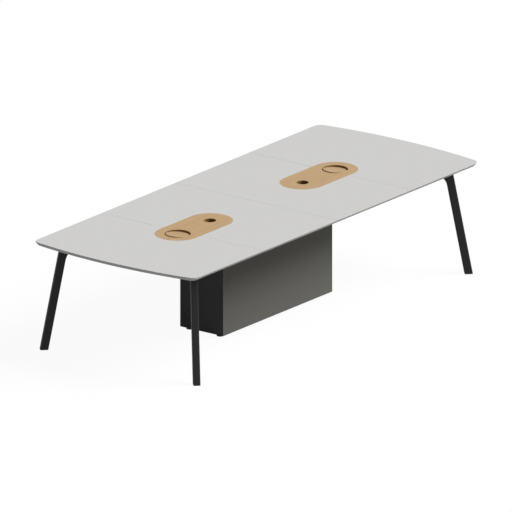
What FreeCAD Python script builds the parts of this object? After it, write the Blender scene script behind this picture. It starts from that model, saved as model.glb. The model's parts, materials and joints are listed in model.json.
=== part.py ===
"""Conference table with bowed ends, two wooden power inlays, splayed legs and a central cable cabinet.

Millimetres, +Z up. +X runs along the table, and the origin is on the floor under its middle.
The cabinet's plain front faces -Y and its doors face +Y. "left" is the -X half of the table.
"""

import FreeCAD
import Part

import math
import os

from FreeCAD import Vector

# Table top
TABLE_LENGTH = 3200.0  # over the crowns of the two bowed ends
TABLE_WIDTH = 1310.0
TABLE_HEIGHT = 750.0  # floor to the top surface
TOP_THICKNESS = 25.0
END_BOW = 60.0  # how far the middle of an end stands out past its corners
CORNER_RADIUS = 55.0
LIP_HEIGHT = 6.5  # upright part of the edge, above the undercut
UNDERCUT_RUN = 16.5  # how far the undercut draws the underside in
TOP_ARRIS = 1.5
SEAM_GAP = 0.6
SEAM_ARRIS = 0.8

# Joints between the four top boards
DOWEL_RADIUS = 5.0
DOWEL_LENGTH = 50.0
DOWEL_END_ROOM = 0.4
DOWEL_INNER_ROW = 220.0  # from the table's long centre line
DOWEL_OUTER_ROW = 560.0
SEAM_PLATE_LENGTH = 140.0
SEAM_PLATE_WIDTH = 60.0
SEAM_PLATE_THICKNESS = 2.5
SEAM_PLATE_ROW = 300.0
SEAM_PLATE_SCREW_INSET = 15.0

# Wooden inlay boards
INLAY_LENGTH = 650.0
INLAY_WIDTH = 300.0
INLAY_FROM_SEAM = 125.0  # from the outer seam in to the middle of the inlay
INLAY_JOINT = 0.4
INLAY_ARRIS = 0.6
CABLE_HOLE_RADIUS = 40.0
INLAY_PLATE_THICKNESS = 3.0
INLAY_PLATE_BORDER = 35.0  # how far the plate under an inlay reaches past it
INLAY_PLATE_CORNER = 20.0
INLAY_PLATE_FIT = 0.4
INLAY_PLATE_HOLE_BORDER = 5.0
INLAY_PLATE_SCREW_INSET = 18.0
INLAY_PLATE_END_SCREW_ROW = 90.0
INLAY_BOARD_SCREW_ROW = 110.0

# Round lids on a pivot across the table
LID_OPENING_RADIUS = 85.0
LID_GAP = 6.5
LID_THICKNESS = 16.0
LID_SINK = 4.0  # how far the level lid lies under the top surface
LID_TILT = 6.0  # degrees, with the -X side up
LID_ARRIS = 1.5
PIN_RADIUS = 3.0
PIN_GRIP = 22.0  # length held in the lid
PIN_CLEARANCE = 0.05
PIN_END_ROOM = 1.0
BUSH_WALL = 2.0
BUSH_LENGTH = 15.0
BUMPER_RADIUS = 5.0
BUMPER_TAB_WIDTH = 20.0
BUMPER_EDGE_INSET = 8.0  # from the lid's edge to the bumper's centre
BUMPER_GAP = 0.3  # left under the lid when it lies level

# Power unit under each lid
WELL_LENGTH = 190.0  # inside, along the table
WELL_WIDTH = 180.0
WELL_DEPTH = 105.0
WELL_WALL = 2.0
WELL_FLANGE = 14.0
WELL_SCREW_ROW = 60.0
MODULE_LENGTH = 150.0
MODULE_WIDTH = 62.0
MODULE_HEIGHT = 68.0
MODULE_WALL_ROOM = 1.0
MODULE_ARRIS = 2.0
SOCKET_PLATE_THICKNESS = 4.0
SOCKET_PLATE_MARGIN = 3.0
SOCKET_RADIUS = 18.0
SOCKET_PITCH = 46.0
SOCKET_DEPTH = 12.0
CONTACT_RADIUS = 2.6
CONTACT_SPACING = 19.0
INLET_WIDTH = 28.0
INLET_HEIGHT = 20.0
INLET_STAND = 12.0  # how far the inlet stands out of the well
INLET_RIM = 3.0
INLET_WALL = 2.5
INLET_RISE = 18.0  # from the well's floor to the inlet's lower side

# Legs
FOOT_INSET_END = 132.0  # from the crown of the bowed end to the middle of the foot
FOOT_INSET_SIDE = 34.0
LEG_SPLAY = 10.6  # degrees from upright, along the diagonal
LEG_RADIAL = 53.0
LEG_TANGENTIAL = 46.5
LEG_CORNER = 9.0
LEG_WALL = 2.5
KNEE_RADIUS = 105.0
ARM_HEIGHT = 30.0
ARM_STRAIGHT = 8.0  # from the knee to the arm's end
LEG_PLATE_THICKNESS = 5.0
LEG_PLATE_WIDTH = 120.0
LEG_PLATE_CORNER = 10.0
LEG_PLATE_SCREW_INSET = 15.0
GLIDE_FLANGE = 4.0
GLIDE_SPIGOT = 25.0
GLIDE_FIT = 0.2

# Frame under the top
RAIL_WIDTH = 50.0
RAIL_HEIGHT = 30.0
RAIL_WALL = 2.0
CASTING_SIZE = 60.0
CASTING_CHAMFER = 40.0
SPIGOT_LENGTH = 25.0
SPIGOT_FIT = 0.3
RAIL_SCREW_SEAM_INSET = 100.0
RAIL_SCREW_END_INSET = 80.0
END_RAIL_SCREW_ROW = 200.0

# Fasteners
SCREW_RADIUS = 2.5
SCREW_HEAD_RADIUS = 5.0
SCREW_HEAD_HEIGHT = 2.6
SCREW_BITE = 14.0  # length driven into the top, above its underside
BOLT_RADIUS = 3.0
BOLT_HEAD_RADIUS = 5.5
BOLT_HEAD_HEIGHT = 4.0
BOLT_BITE = 12.0

# Cabinet
CABINET_PAST_HOLE = 90.0  # from the middle of a cable hole to the cabinet's end
CABINET_WIDTH = 350.0
CABINET_BOARD = 18.0
CABINET_LIFT = 15.0  # from the floor to the underside of the panels
CABINET_ARRIS = 1.5
CABINET_RAIL_HEIGHT = 35.0
CABINET_RAIL_SCREW_INNER = 120.0
CABINET_RAIL_SCREW_OUTER = 260.0
CABINET_SCREW_SINK = 5.0
CABINET_SCREW_SINK_FIT = 0.4
GROMMET_RADIUS = 30.0  # inside
GROMMET_WALL = 4.0
GROMMET_FLANGE = 5.0
GROMMET_FLANGE_THICKNESS = 2.0
GROMMET_X = 280.0
DOOR_GAP = 1.5
DOOR_END_GAP = 3.0  # above and below a door
DOOR_STOP_ROOM = 0.5
DOOR_PIN_RADIUS = 3.0
DOOR_PIN_SEAT = 12.0
DOOR_PIN_GRIP = 15.0
DOOR_COLLAR_RADIUS = 6.0
DOOR_COLLAR_GAP = 0.3
PULL_LENGTH = 100.0
PULL_DEPTH = 22.0
PULL_CORNER = 8.0
PULL_FROM_MIDDLE = 60.0
MAGNET_LENGTH = 40.0
MAGNET_WIDTH = 14.0
MAGNET_DEPTH = 25.0
MAGNET_DROP = 60.0  # from the door's top edge
STRIKE_THICKNESS = 1.5
STRIKE_WIDTH = 24.0
STRIKE_GAP = 0.3

# Levelling feet
FOOT_RADIUS = 24.0
FOOT_PAD_HEIGHT = 9.0
FOOT_ARRIS = 1.5
FOOT_COLLAR_RADIUS = 9.0
FOOT_COLLAR_GAP = 0.3
FOOT_END_INSET = 37.0  # from the cabinet's end to the foot's middle
FOOT_SIDE_INSET = 52.0
STUD_RADIUS = 5.0
STUD_RISE = 22.0  # above the cabinet floor
STUD_CLEARANCE = 0.05
INSERT_WALL = 2.5

# Worked out from the sizes above
UP = Vector(0, 0, 1)
TOUCH = 1e-4  # distances below this count as none
SIDES = (("left", -1), ("right", 1))
CORNERS = (
    ("front_left", -1, -1),
    ("front_right", 1, -1),
    ("rear_left", -1, 1),
    ("rear_right", 1, 1),
)
UNDERSIDE = TABLE_HEIGHT - TOP_THICKNESS
UNDERCUT_TOP = TABLE_HEIGHT - LIP_HEIGHT
HALF_LENGTH = TABLE_LENGTH / 2
HALF_WIDTH = TABLE_WIDTH / 2
SEAM_X = TABLE_LENGTH / 4
SEAMS = (-SEAM_X, 0.0, SEAM_X)
SCREW_TIP = UNDERSIDE + SCREW_BITE

INLAY_RADIUS = INLAY_WIDTH / 2
INLAY_CENTRE = SEAM_X - INLAY_FROM_SEAM
LID_X = INLAY_CENTRE + INLAY_LENGTH / 2 - INLAY_RADIUS
CABLE_HOLE_X = INLAY_CENTRE - INLAY_LENGTH / 2 + INLAY_RADIUS
INLAY_BASE = UNDERSIDE + INLAY_PLATE_THICKNESS
LID_RADIUS = LID_OPENING_RADIUS - LID_GAP
LID_PIVOT_Z = TABLE_HEIGHT - LID_SINK - LID_THICKNESS / 2
WELL_FLOOR = UNDERSIDE - WELL_DEPTH

ARM_TOP = UNDERSIDE - LEG_PLATE_THICKNESS
ARM_BOTTOM = ARM_TOP - ARM_HEIGHT
SPLAY = math.radians(LEG_SPLAY)
FOOT_X = HALF_LENGTH - FOOT_INSET_END
FOOT_Y = HALF_WIDTH - FOOT_INSET_SIDE


def knee_centre(inset):
    """The middle of the knee's inner curve, outward and up from the foot, for a leg drawn in by an inset."""
    radius = KNEE_RADIUS + inset
    half_leg = (LEG_RADIAL / 2 - inset) / math.cos(SPLAY)
    height = ARM_BOTTOM + inset - radius
    return -half_leg - radius / math.cos(SPLAY) - height * math.tan(SPLAY), height


# From the middle of the foot to the arm's end, along the diagonal
ARM_REACH = ARM_STRAIGHT - knee_centre(0)[0]

HALF_CASTING = CASTING_SIZE / 2
CASTING_BACK = (ARM_REACH + (CASTING_SIZE - CASTING_CHAMFER) / math.sqrt(2)) / math.sqrt(2)
CASTING_X = FOOT_X - CASTING_BACK
CASTING_Y = FOOT_Y - CASTING_BACK
RAIL_BASE = UNDERSIDE - RAIL_HEIGHT
LONG_RAIL_END = CASTING_X - HALF_CASTING
END_RAIL_END = CASTING_Y - HALF_CASTING

CABINET_X = CABLE_HOLE_X + CABINET_PAST_HOLE
CABINET_Y = CABINET_WIDTH / 2
CABINET_INNER_X = CABINET_X - CABINET_BOARD
CABINET_INNER_Y = CABINET_Y - CABINET_BOARD
CABINET_FLOOR_TOP = CABINET_LIFT + CABINET_BOARD
CABINET_RAIL_BASE = UNDERSIDE - CABINET_RAIL_HEIGHT
DOOR_BASE = CABINET_FLOOR_TOP + DOOR_END_GAP
DOOR_TOP = CABINET_RAIL_BASE - DOOR_END_GAP
DOOR_OUTER_X = CABINET_INNER_X - DOOR_GAP
DOOR_PIVOT_X = DOOR_OUTER_X - CABINET_BOARD / 2
DOOR_PIVOT_Y = CABINET_Y - CABINET_BOARD / 2


def block(x_low, x_high, y_low, y_high, z_low, z_high):
    """A box between two corners, whichever way round its x limits are given."""
    x_low, x_high = min(x_low, x_high), max(x_low, x_high)
    return Part.makeBox(x_high - x_low, y_high - y_low, z_high - z_low, Vector(x_low, y_low, z_low))


def upright(x, y, radius, z_low, z_high):
    """An upright cylinder."""
    return Part.makeCylinder(radius, z_high - z_low, Vector(x, y, z_low), UP)


def prism(points, z_low, z_high):
    """An upright prism over a closed polygon of (x, y) points."""
    corners = [Vector(x, y, z_low) for x, y in points]
    face = Part.Face(Part.makePolygon(corners + corners[:1]))
    return face.extrude(UP * (z_high - z_low))


def round_uprights(shape, radius):
    """Rounds every upright edge of a shape."""
    edges = [e for e in shape.Edges if e.BoundBox.XLength + e.BoundBox.YLength < TOUCH]
    return shape.makeFillet(radius, edges)


def edges_at_height(shape, height):
    """The edges of a shape that lie flat at one height."""
    return [e for e in shape.Edges if abs(e.BoundBox.ZMin - height) + abs(e.BoundBox.ZMax - height) < TOUCH]


def export(name, *solids):
    """Writes one named piece, or a group of like pieces, to its own file."""
    shape = solids[0] if len(solids) == 1 else Part.makeCompound(list(solids))
    assert shape.isValid(), name
    shape.exportStep(os.path.join("parts", name + ".step"))


# Fasteners


def screw_shanks(places, seat):
    """The space that a row of wood screws takes up above its seat, which is also their pilot holes."""
    return Part.makeCompound([upright(x, y, SCREW_RADIUS, seat, SCREW_TIP) for x, y in places])


def wood_screws(places, seat):
    """Pan-head wood screws driven up into the top, with their heads under the seat."""
    return [
        upright(x, y, SCREW_RADIUS, seat, SCREW_TIP).fuse(
            upright(x, y, SCREW_HEAD_RADIUS, seat - SCREW_HEAD_HEIGHT, seat)
        )
        for x, y in places
    ]


def mirrored(*places):
    """Each place and its mirror images in x and y."""
    return [(sx * x, sy * y) for x, y in places for sx in (-1, 1) for sy in (-1, 1)]


SEAM_PLATE_SEAT = UNDERSIDE - SEAM_PLATE_THICKNESS
SEAM_PLATE_SCREW_X = SEAM_PLATE_LENGTH / 2 - SEAM_PLATE_SCREW_INSET
SEAM_PLATE_SCREW_Y = SEAM_PLATE_WIDTH / 2 - SEAM_PLATE_SCREW_INSET
SEAM_PLATE_SCREWS = [
    (seam + along, row + across)
    for seam in SEAMS
    for row in (-SEAM_PLATE_ROW, SEAM_PLATE_ROW)
    for along in (-SEAM_PLATE_SCREW_X, SEAM_PLATE_SCREW_X)
    for across in (-SEAM_PLATE_SCREW_Y, SEAM_PLATE_SCREW_Y)
]
INLAY_PLATE_HALF_LENGTH = INLAY_LENGTH / 2 + INLAY_PLATE_BORDER
INLAY_PLATE_HALF_WIDTH = INLAY_WIDTH / 2 + INLAY_PLATE_BORDER
INLAY_PLATE_SIDE_ROW = INLAY_PLATE_HALF_WIDTH - INLAY_PLATE_SCREW_INSET
INLAY_PLATE_END = INLAY_PLATE_HALF_LENGTH - INLAY_PLATE_SCREW_INSET
INLAY_PLATE_SCREWS = mirrored(
    (INLAY_CENTRE - INLAY_PLATE_END, INLAY_PLATE_END_SCREW_ROW),
    (INLAY_CENTRE + INLAY_PLATE_END, INLAY_PLATE_END_SCREW_ROW),
    (SEAM_X - SEAM_PLATE_LENGTH / 2, INLAY_PLATE_SIDE_ROW),
    (SEAM_X + SEAM_PLATE_LENGTH / 2, INLAY_PLATE_SIDE_ROW),
    (INLAY_CENTRE, INLAY_BOARD_SCREW_ROW),
    (CABLE_HOLE_X, INLAY_BOARD_SCREW_ROW),
)
WELL_SEAT = UNDERSIDE - WELL_WALL
WELL_SCREW_X = WELL_LENGTH / 2 + WELL_WALL + WELL_FLANGE / 2
WELL_SCREWS = mirrored((LID_X - WELL_SCREW_X, WELL_SCREW_ROW), (LID_X + WELL_SCREW_X, WELL_SCREW_ROW))
RAIL_SCREWS = mirrored(
    (RAIL_SCREW_SEAM_INSET, CASTING_Y),
    (SEAM_X - RAIL_SCREW_SEAM_INSET, CASTING_Y),
    (SEAM_X + RAIL_SCREW_SEAM_INSET, CASTING_Y),
    (LONG_RAIL_END - RAIL_SCREW_END_INSET, CASTING_Y),
    (CASTING_X, END_RAIL_SCREW_ROW),
)
CABINET_SCREW_SEAT = CABINET_RAIL_BASE + CABINET_SCREW_SINK
CABINET_SCREWS = [
    (sign * x, y)
    for sign in (-1, 1)
    for x in (CABINET_RAIL_SCREW_INNER, CABINET_RAIL_SCREW_OUTER)
    for y in (CABINET_BOARD / 2 - CABINET_INNER_Y, DOOR_PIVOT_Y)
]


def place_at_corner(shape, sx, sy):
    """Turns a shape built with +X outward along the diagonal, and sets it at one foot."""
    placed = shape.copy()
    placed.rotate(Vector(0, 0, 0), UP, math.degrees(math.atan2(sy, sx)))
    placed.translate(Vector(sx * FOOT_X, sy * FOOT_Y, 0))
    return placed


def leg_top_outer():
    """Where the leg's outer face meets the leg plate, outward along the diagonal from the foot."""
    return LEG_RADIAL / 2 / math.cos(SPLAY) - ARM_TOP * math.tan(SPLAY)


def leg_plate_screws():
    """Screw places of all four leg plates."""
    places = []
    across = LEG_PLATE_WIDTH / 2 - LEG_PLATE_SCREW_INSET
    for _, sx, sy in CORNERS:
        for along in (LEG_PLATE_SCREW_INSET - ARM_REACH, leg_top_outer() - LEG_PLATE_SCREW_INSET):
            for side in (-across, across):
                point = Part.Vertex(along, side, 0)
                placed = place_at_corner(point, sx, sy)
                places.append((placed.X, placed.Y))
    return places


LEG_PLATE_SCREWS = leg_plate_screws()


# Table top


def top_outline(inset, height):
    """The outline of the top, drawn in by an inset: straight sides, bowed ends and round corners."""
    bow_radius = (HALF_WIDTH**2 + END_BOW**2) / (2 * END_BOW)
    bow_centre = HALF_LENGTH - bow_radius
    corner_y = HALF_WIDTH - CORNER_RADIUS
    corner_x = bow_centre + math.sqrt((bow_radius - CORNER_RADIUS) ** 2 - corner_y**2)
    meet = math.atan2(corner_y, corner_x - bow_centre)
    middle = (meet + math.pi / 2) / 2
    radius = CORNER_RADIUS - inset
    side = Vector(corner_x, HALF_WIDTH - inset, height)
    bend = Vector(corner_x + radius * math.cos(middle), corner_y + radius * math.sin(middle), height)
    reach = bow_radius - inset
    end = Vector(bow_centre + reach * math.cos(meet), reach * math.sin(meet), height)
    crown = Vector(HALF_LENGTH - inset, 0, height)

    def flip(point, sx, sy):
        return Vector(sx * point.x, sy * point.y, point.z)

    edges = [
        Part.LineSegment(flip(side, -1, 1), side),
        Part.Arc(side, bend, end),
        Part.Arc(end, crown, flip(end, 1, -1)),
        Part.Arc(flip(end, 1, -1), flip(bend, 1, -1), flip(side, 1, -1)),
        Part.LineSegment(flip(side, 1, -1), flip(side, -1, -1)),
        Part.Arc(flip(side, -1, -1), flip(bend, -1, -1), flip(end, -1, -1)),
        Part.Arc(flip(end, -1, -1), flip(crown, -1, 1), flip(end, -1, 1)),
        Part.Arc(flip(end, -1, 1), flip(bend, -1, 1), flip(side, -1, 1)),
    ]
    return Part.Wire([e.toShape() for e in edges])


def stadium(length, width, centre, z_low, z_high):
    """An upright solid with straight sides along X and round ends."""
    radius = width / 2
    half = length / 2 - radius
    middle = block(centre - half, centre + half, -radius, radius, z_low, z_high)
    ends = [upright(centre + sign * half, 0, radius, z_low, z_high) for sign in (-1, 1)]
    return middle.fuse(ends).removeSplitter()


def inlay_plate_blank(sign, fit, z_low, z_high):
    """The outline of the plate under an inlay, grown by a fit."""
    half_length = INLAY_PLATE_HALF_LENGTH + fit
    half_width = INLAY_PLATE_HALF_WIDTH + fit
    centre = sign * INLAY_CENTRE
    blank = block(centre - half_length, centre + half_length, -half_width, half_width, z_low, z_high)
    return round_uprights(blank, INLAY_PLATE_CORNER + fit)


def dowels(end_room):
    """The dowels across the seams, each made longer at both ends by a room."""
    half = DOWEL_LENGTH / 2 + end_room
    height = UNDERSIDE + TOP_THICKNESS / 2
    return [
        Part.makeCylinder(DOWEL_RADIUS, 2 * half, Vector(seam - half, sign * row, height), Vector(1, 0, 0))
        for seam in SEAMS
        for row in (DOWEL_INNER_ROW, DOWEL_OUTER_ROW)
        for sign in (-1, 1)
    ]


def whole_top():
    """The top before it is cut into boards: an upright lip over an undercut."""
    lip = Part.Face(top_outline(0, UNDERCUT_TOP)).extrude(UP * LIP_HEIGHT)
    undercut = Part.makeLoft([top_outline(UNDERCUT_RUN, UNDERSIDE), top_outline(0, UNDERCUT_TOP)], True, True)
    whole = lip.fuse(undercut).removeSplitter()
    return whole.makeFillet(TOP_ARRIS, edges_at_height(whole, TABLE_HEIGHT))


def make_top_boards():
    """Four boards with room for the inlays, their plates, the dowels and the screws."""
    whole = whole_top()
    cutters = dowels(DOWEL_END_ROOM)
    for _, sign in SIDES:
        cutters.append(stadium(INLAY_LENGTH, INLAY_WIDTH, sign * INLAY_CENTRE, UNDERSIDE, TABLE_HEIGHT))
        cutters.append(inlay_plate_blank(sign, INLAY_PLATE_FIT, UNDERSIDE, INLAY_BASE))
    for places in (SEAM_PLATE_SCREWS, INLAY_PLATE_SCREWS, RAIL_SCREWS, CABINET_SCREWS, LEG_PLATE_SCREWS):
        cutters.append(screw_shanks(places, UNDERSIDE))
    half_gap = SEAM_GAP / 2
    for side, sign in SIDES:
        spans = {"end": (SEAM_X + half_gap, HALF_LENGTH), "mid": (half_gap, SEAM_X - half_gap)}
        for kind, (near, far) in spans.items():
            span = block(sign * near, sign * far, -HALF_WIDTH, HALF_WIDTH, UNDERSIDE, TABLE_HEIGHT)
            board = whole.common(span)
            seam_edges = [e for e in edges_at_height(board, TABLE_HEIGHT) if e.BoundBox.XLength < TOUCH]
            board = board.makeChamfer(SEAM_ARRIS, seam_edges)
            export(f"top_board_{kind}_{side}", board.cut(cutters))


def make_seam_joints():
    """Dowels and joining plates across the seams."""
    export("seam_dowels", *dowels(0))
    plates = []
    shanks = screw_shanks(SEAM_PLATE_SCREWS, SEAM_PLATE_SEAT)
    half_length = SEAM_PLATE_LENGTH / 2
    half_width = SEAM_PLATE_WIDTH / 2
    for seam in SEAMS:
        for row in (-SEAM_PLATE_ROW, SEAM_PLATE_ROW):
            plate = block(
                seam - half_length,
                seam + half_length,
                row - half_width,
                row + half_width,
                SEAM_PLATE_SEAT,
                UNDERSIDE,
            )
            plates.append(plate.cut(shanks))
    export("seam_plates", *plates)


# Inlays and lids


def pivot_rods(sign, radius, start, length):
    """A pair of rods on a lid's pivot line, from a distance off its middle outward."""
    return [
        Part.makeCylinder(radius, length, Vector(sign * LID_X, way * start, LID_PIVOT_Z), Vector(0, way, 0))
        for way in (-1, 1)
    ]


def make_inlay(side, sign):
    """A board with a lid opening and a cable hole, and the steel plate that carries it."""
    lid_x = sign * LID_X
    cable_x = sign * CABLE_HOLE_X
    length = INLAY_LENGTH - 2 * INLAY_JOINT
    width = INLAY_WIDTH - 2 * INLAY_JOINT
    board = stadium(length, width, sign * INLAY_CENTRE, INLAY_BASE, TABLE_HEIGHT)
    board = board.cut(upright(lid_x, 0, LID_OPENING_RADIUS, INLAY_BASE, TABLE_HEIGHT))
    board = board.cut(upright(cable_x, 0, CABLE_HOLE_RADIUS, INLAY_BASE, TABLE_HEIGHT))
    board = board.makeFillet(INLAY_ARRIS, edges_at_height(board, TABLE_HEIGHT))
    bush_seats = pivot_rods(sign, PIN_RADIUS + PIN_CLEARANCE + BUSH_WALL, LID_RADIUS, LID_GAP + BUSH_LENGTH)
    shanks = [screw_shanks(INLAY_PLATE_SCREWS, UNDERSIDE), screw_shanks(WELL_SCREWS, WELL_SEAT)]
    export(f"inlay_board_{side}", board.cut(bush_seats + shanks))

    plate = inlay_plate_blank(sign, 0, UNDERSIDE, INLAY_BASE)
    tab_end = lid_x - LID_RADIUS + BUMPER_EDGE_INSET + BUMPER_RADIUS
    lid_hole = upright(lid_x, 0, LID_OPENING_RADIUS + INLAY_PLATE_HOLE_BORDER, UNDERSIDE, INLAY_BASE)
    half_tab = BUMPER_TAB_WIDTH / 2
    tab = block(lid_x - WELL_LENGTH / 2, tab_end, -half_tab, half_tab, UNDERSIDE, INLAY_BASE)
    cable_hole = upright(cable_x, 0, CABLE_HOLE_RADIUS + INLAY_PLATE_HOLE_BORDER, UNDERSIDE, INLAY_BASE)
    export(f"inlay_plate_{side}", plate.cut([lid_hole.cut(tab), cable_hole] + shanks))

    pin_bores = pivot_rods(sign, PIN_RADIUS + PIN_CLEARANCE, LID_OPENING_RADIUS, BUSH_LENGTH)
    sleeves = pivot_rods(sign, PIN_RADIUS + PIN_CLEARANCE + BUSH_WALL, LID_OPENING_RADIUS, BUSH_LENGTH)
    bushes = [sleeve.cut(bore) for sleeve, bore in zip(sleeves, pin_bores)]
    bumper_x = lid_x - LID_RADIUS + BUMPER_EDGE_INSET
    bumper_top = LID_PIVOT_Z - LID_THICKNESS / 2 - BUMPER_GAP
    return bushes, upright(bumper_x, 0, BUMPER_RADIUS, INLAY_BASE, bumper_top)


def make_lid(side, sign):
    """A round lid that turns on two pins across the table, stored a little tilted."""
    lid_x = sign * LID_X
    half = LID_THICKNESS / 2
    disc = upright(lid_x, 0, LID_RADIUS, LID_PIVOT_Z - half, LID_PIVOT_Z + half)
    rims = edges_at_height(disc, LID_PIVOT_Z - half) + edges_at_height(disc, LID_PIVOT_Z + half)
    disc = disc.makeFillet(LID_ARRIS, rims)
    pin_start = LID_RADIUS - PIN_GRIP
    pin_length = PIN_GRIP + LID_GAP + BUSH_LENGTH - PIN_END_ROOM
    pins = pivot_rods(sign, PIN_RADIUS, pin_start, pin_length)
    disc = disc.cut(pins)
    for shape in [disc] + pins:
        shape.rotate(Vector(lid_x, 0, LID_PIVOT_Z), Vector(0, 1, 0), LID_TILT)
    export(f"lid_{side}", disc)
    export(f"lid_pins_{side}", *pins)


# Power units


def make_power_unit(side, sign):
    """An open well under the lid, with a socket module against its -X wall."""
    lid_x = sign * LID_X
    half_length = WELL_LENGTH / 2
    half_width = WELL_WIDTH / 2
    wall_length = half_length + WELL_WALL
    wall_width = half_width + WELL_WALL
    rim_length = wall_length + WELL_FLANGE
    rim_width = wall_width + WELL_FLANGE
    well_base = WELL_FLOOR - WELL_WALL
    shell = block(lid_x - wall_length, lid_x + wall_length, -wall_width, wall_width, well_base, UNDERSIDE)
    flange = block(lid_x - rim_length, lid_x + rim_length, -rim_width, rim_width, WELL_SEAT, UNDERSIDE)
    inside = block(lid_x - half_length, lid_x + half_length, -half_width, half_width, WELL_FLOOR, UNDERSIDE)
    module_back = lid_x - half_length + MODULE_WALL_ROOM
    inlet_base = WELL_FLOOR + INLET_RISE
    half_inlet = INLET_WIDTH / 2
    wall_face = lid_x - wall_length
    inlet_body = block(
        wall_face - INLET_STAND, module_back, -half_inlet, half_inlet, inlet_base, inlet_base + INLET_HEIGHT
    )
    inlet_rim = block(
        wall_face - WELL_WALL,
        wall_face,
        -half_inlet - INLET_RIM,
        half_inlet + INLET_RIM,
        inlet_base - INLET_RIM,
        inlet_base + INLET_HEIGHT + INLET_RIM,
    )
    inlet_mouth = block(
        wall_face - INLET_STAND,
        wall_face - WELL_WALL,
        INLET_WALL - half_inlet,
        half_inlet - INLET_WALL,
        inlet_base + INLET_WALL,
        inlet_base + INLET_HEIGHT - INLET_WALL,
    )
    well = shell.fuse(flange).cut([inside, inlet_body, screw_shanks(WELL_SCREWS, WELL_SEAT)])
    export(f"power_well_{side}", well.removeSplitter())
    export(f"power_inlet_{side}", inlet_body.fuse(inlet_rim).cut(inlet_mouth).removeSplitter())

    module_top = WELL_FLOOR + MODULE_HEIGHT
    module_middle = module_back + MODULE_WIDTH / 2
    half_module = MODULE_LENGTH / 2
    module = block(module_back, module_back + MODULE_WIDTH, -half_module, half_module, WELL_FLOOR, module_top)
    module = round_uprights(module, MODULE_ARRIS)
    margin = SOCKET_PLATE_MARGIN
    plate_top = module_top + SOCKET_PLATE_THICKNESS
    plate = block(
        module_back + margin,
        module_back + MODULE_WIDTH - margin,
        margin - half_module,
        half_module - margin,
        module_top,
        plate_top,
    )
    plate = round_uprights(plate, MODULE_ARRIS)
    mouths = []
    contacts = []
    for step in (-1, 0, 1):
        socket_y = step * SOCKET_PITCH
        mouths.append(upright(module_middle, socket_y, SOCKET_RADIUS, module_top, plate_top))
        for way in (-1, 1):
            contact_y = socket_y + way * CONTACT_SPACING / 2
            contacts.append(
                upright(module_middle, contact_y, CONTACT_RADIUS, module_top - SOCKET_DEPTH, module_top)
            )
    export(f"power_module_{side}", module.cut(contacts))
    export(f"socket_plate_{side}", plate.cut(mouths))


# Legs and frame


def leg_solid(inset, low, reach):
    """The leg, knee and arm, drawn in all round by an inset, with +X outward along the diagonal."""
    slope = math.tan(SPLAY)
    half = (LEG_RADIAL / 2 - inset) / math.cos(SPLAY)
    top = ARM_TOP - inset
    bottom = ARM_BOTTOM + inset
    knee = KNEE_RADIUS + inset
    knee_x, knee_z = knee_centre(inset)
    bend = (math.pi / 2 + SPLAY) / 2
    half_thickness = LEG_TANGENTIAL / 2 - inset

    def at(x, z):
        return Vector(x, -half_thickness, z)

    def on_knee(angle):
        return at(knee_x + knee * math.cos(angle), knee_z + knee * math.sin(angle))

    corners = [at(half - slope * low, low), at(half - slope * top, top), at(-reach, top), at(-reach, bottom)]
    inner_foot = at(-half - slope * low, low)
    edges = [Part.LineSegment(a, b) for a, b in zip(corners, corners[1:])]
    edges.append(Part.LineSegment(corners[-1], on_knee(math.pi / 2)))
    edges.append(Part.Arc(on_knee(math.pi / 2), on_knee(bend), on_knee(SPLAY)))
    edges.append(Part.LineSegment(on_knee(SPLAY), inner_foot))
    edges.append(Part.LineSegment(inner_foot, corners[0]))
    wire = Part.Wire([e.toShape() for e in edges])
    solid = Part.Face(wire).extrude(Vector(0, 2 * half_thickness, 0))

    def is_long_edge(edge):
        box = edge.BoundBox
        on_side = box.YLength < TOUCH
        on_arm_end = box.XLength < TOUCH
        on_cut = box.ZLength < TOUCH and min(abs(box.ZMin - low), abs(box.ZMin - top)) < TOUCH
        return on_side and not (on_arm_end or on_cut)

    return solid.makeFillet(LEG_CORNER - inset, [e for e in solid.Edges if is_long_edge(e)])


def make_legs():
    """Four hollow legs, each with a foot glide pressed into its lower end."""
    beyond = ARM_REACH + LEG_RADIAL
    leg = leg_solid(0, GLIDE_FLANGE, ARM_REACH).cut(leg_solid(LEG_WALL, -GLIDE_FLANGE, beyond))
    glide_top = GLIDE_FLANGE + GLIDE_SPIGOT
    sole = leg_solid(0, 0, ARM_REACH).common(
        block(-LEG_RADIAL, LEG_RADIAL, -LEG_TANGENTIAL, LEG_TANGENTIAL, 0, GLIDE_FLANGE)
    )
    spigot = leg_solid(LEG_WALL + GLIDE_FIT, 0, ARM_REACH).common(
        block(-LEG_RADIAL, LEG_RADIAL, -LEG_TANGENTIAL, LEG_TANGENTIAL, GLIDE_FLANGE, glide_top)
    )
    glide = sole.fuse(spigot)
    for name, sx, sy in CORNERS:
        export(f"leg_{name}", place_at_corner(leg, sx, sy))
        export(f"leg_glide_{name}", place_at_corner(glide, sx, sy))


def make_leg_plates():
    """Steel plates that spread each leg's arm under the top."""
    half_width = LEG_PLATE_WIDTH / 2
    blank = block(-ARM_REACH, leg_top_outer(), -half_width, half_width, ARM_TOP, UNDERSIDE)
    blank = round_uprights(blank, LEG_PLATE_CORNER)
    shanks = screw_shanks(LEG_PLATE_SCREWS, ARM_TOP)
    export("leg_plates", *[place_at_corner(blank, sx, sy).cut(shanks) for _, sx, sy in CORNERS])


def frame_bolt_places():
    """Bolts that hold each rail's end on its spigot."""
    back = HALF_CASTING + SPIGOT_LENGTH / 2
    return mirrored((CASTING_X - back, CASTING_Y), (CASTING_X, CASTING_Y - back))


def bolt_shanks():
    """The space that the bolts' shanks take up above the rails' undersides."""
    tip = RAIL_BASE + BOLT_BITE
    return [upright(x, y, BOLT_RADIUS, RAIL_BASE, tip) for x, y in frame_bolt_places()]


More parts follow.
